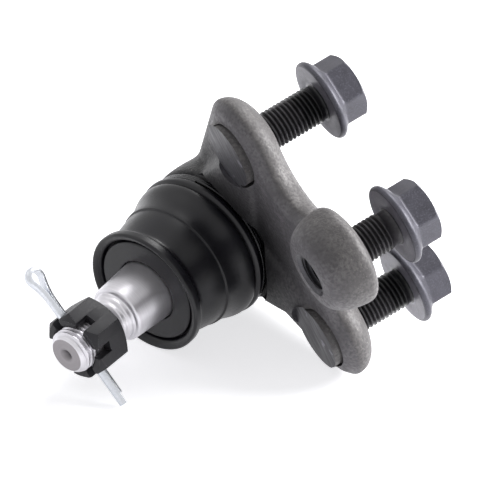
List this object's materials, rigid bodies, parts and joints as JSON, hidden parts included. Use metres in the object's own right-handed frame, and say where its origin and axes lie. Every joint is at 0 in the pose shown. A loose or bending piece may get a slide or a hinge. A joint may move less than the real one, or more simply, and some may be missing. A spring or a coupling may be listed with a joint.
{
  "type": "suspension ball joint",
  "caption": "Bolt-on suspension ball joint: forged three-lobe flange and socket, tapered ball stud with castle nut and cotter pin, rubber dust boot.",
  "frame": {"origin": "midway between the two side bolts, on the flange's arm face", "axes": "+Z is the flange normal towards the stud, +Y runs from the side bolts to the end bolt, +X to the second side bolt"},
  "size_m": [0.0954, 0.1186, 0.1141],
  "materials": {
    "forged_steel": "forged and phosphated, dark warm grey",
    "bright_steel": "ground bright",
    "phosphated_steel": "dark phosphate",
    "zinc_plated_steel": "bright zinc",
    "bolt_steel": "grey phosphate",
    "spring_steel": "plain spring steel",
    "black_wire": "black",
    "boot_rubber": "satin black",
    "seat_resin": "natural acetal"
  },
  "bodies": {
    "socket": {"housing": "forged_steel", "closing_plug": "forged_steel", "upper_seat": "seat_resin", "boot_clamp_ring": "black_wire", "flange_bolt_first": "bolt_steel", "flange_bolt_second": "bolt_steel", "flange_bolt_end": "bolt_steel"},
    "turning_seat": {"lower_seat": "seat_resin", "disc_spring": "spring_steel", "dust_boot": "boot_rubber"},
    "swinging_seal": {"boot_end_ring": "spring_steel"},
    "stud": {"ball_stud": "bright_steel", "castle_nut": "phosphated_steel", "cotter_pin": "zinc_plated_steel"}
  },
  "joints": [
    {"name": "stud_turn", "type": "hinge", "parent": "socket", "child": "turning_seat", "pos_m": [0, -0.039, 0.014], "axis": [0, 0.3746, 0.9272], "continuous": true},
    {"name": "stud_swing", "type": "hinge", "parent": "turning_seat", "child": "swinging_seal", "pos_m": [0, -0.039, 0.014], "axis": [1, 0, 0], "range_deg": [-25, 25], "deforming": ["dust_boot"]},
    {"name": "stud_spin", "type": "hinge", "parent": "swinging_seal", "child": "stud", "pos_m": [0, -0.039, 0.014], "axis": [0, 0.3746, 0.9272], "continuous": true}
  ]
}
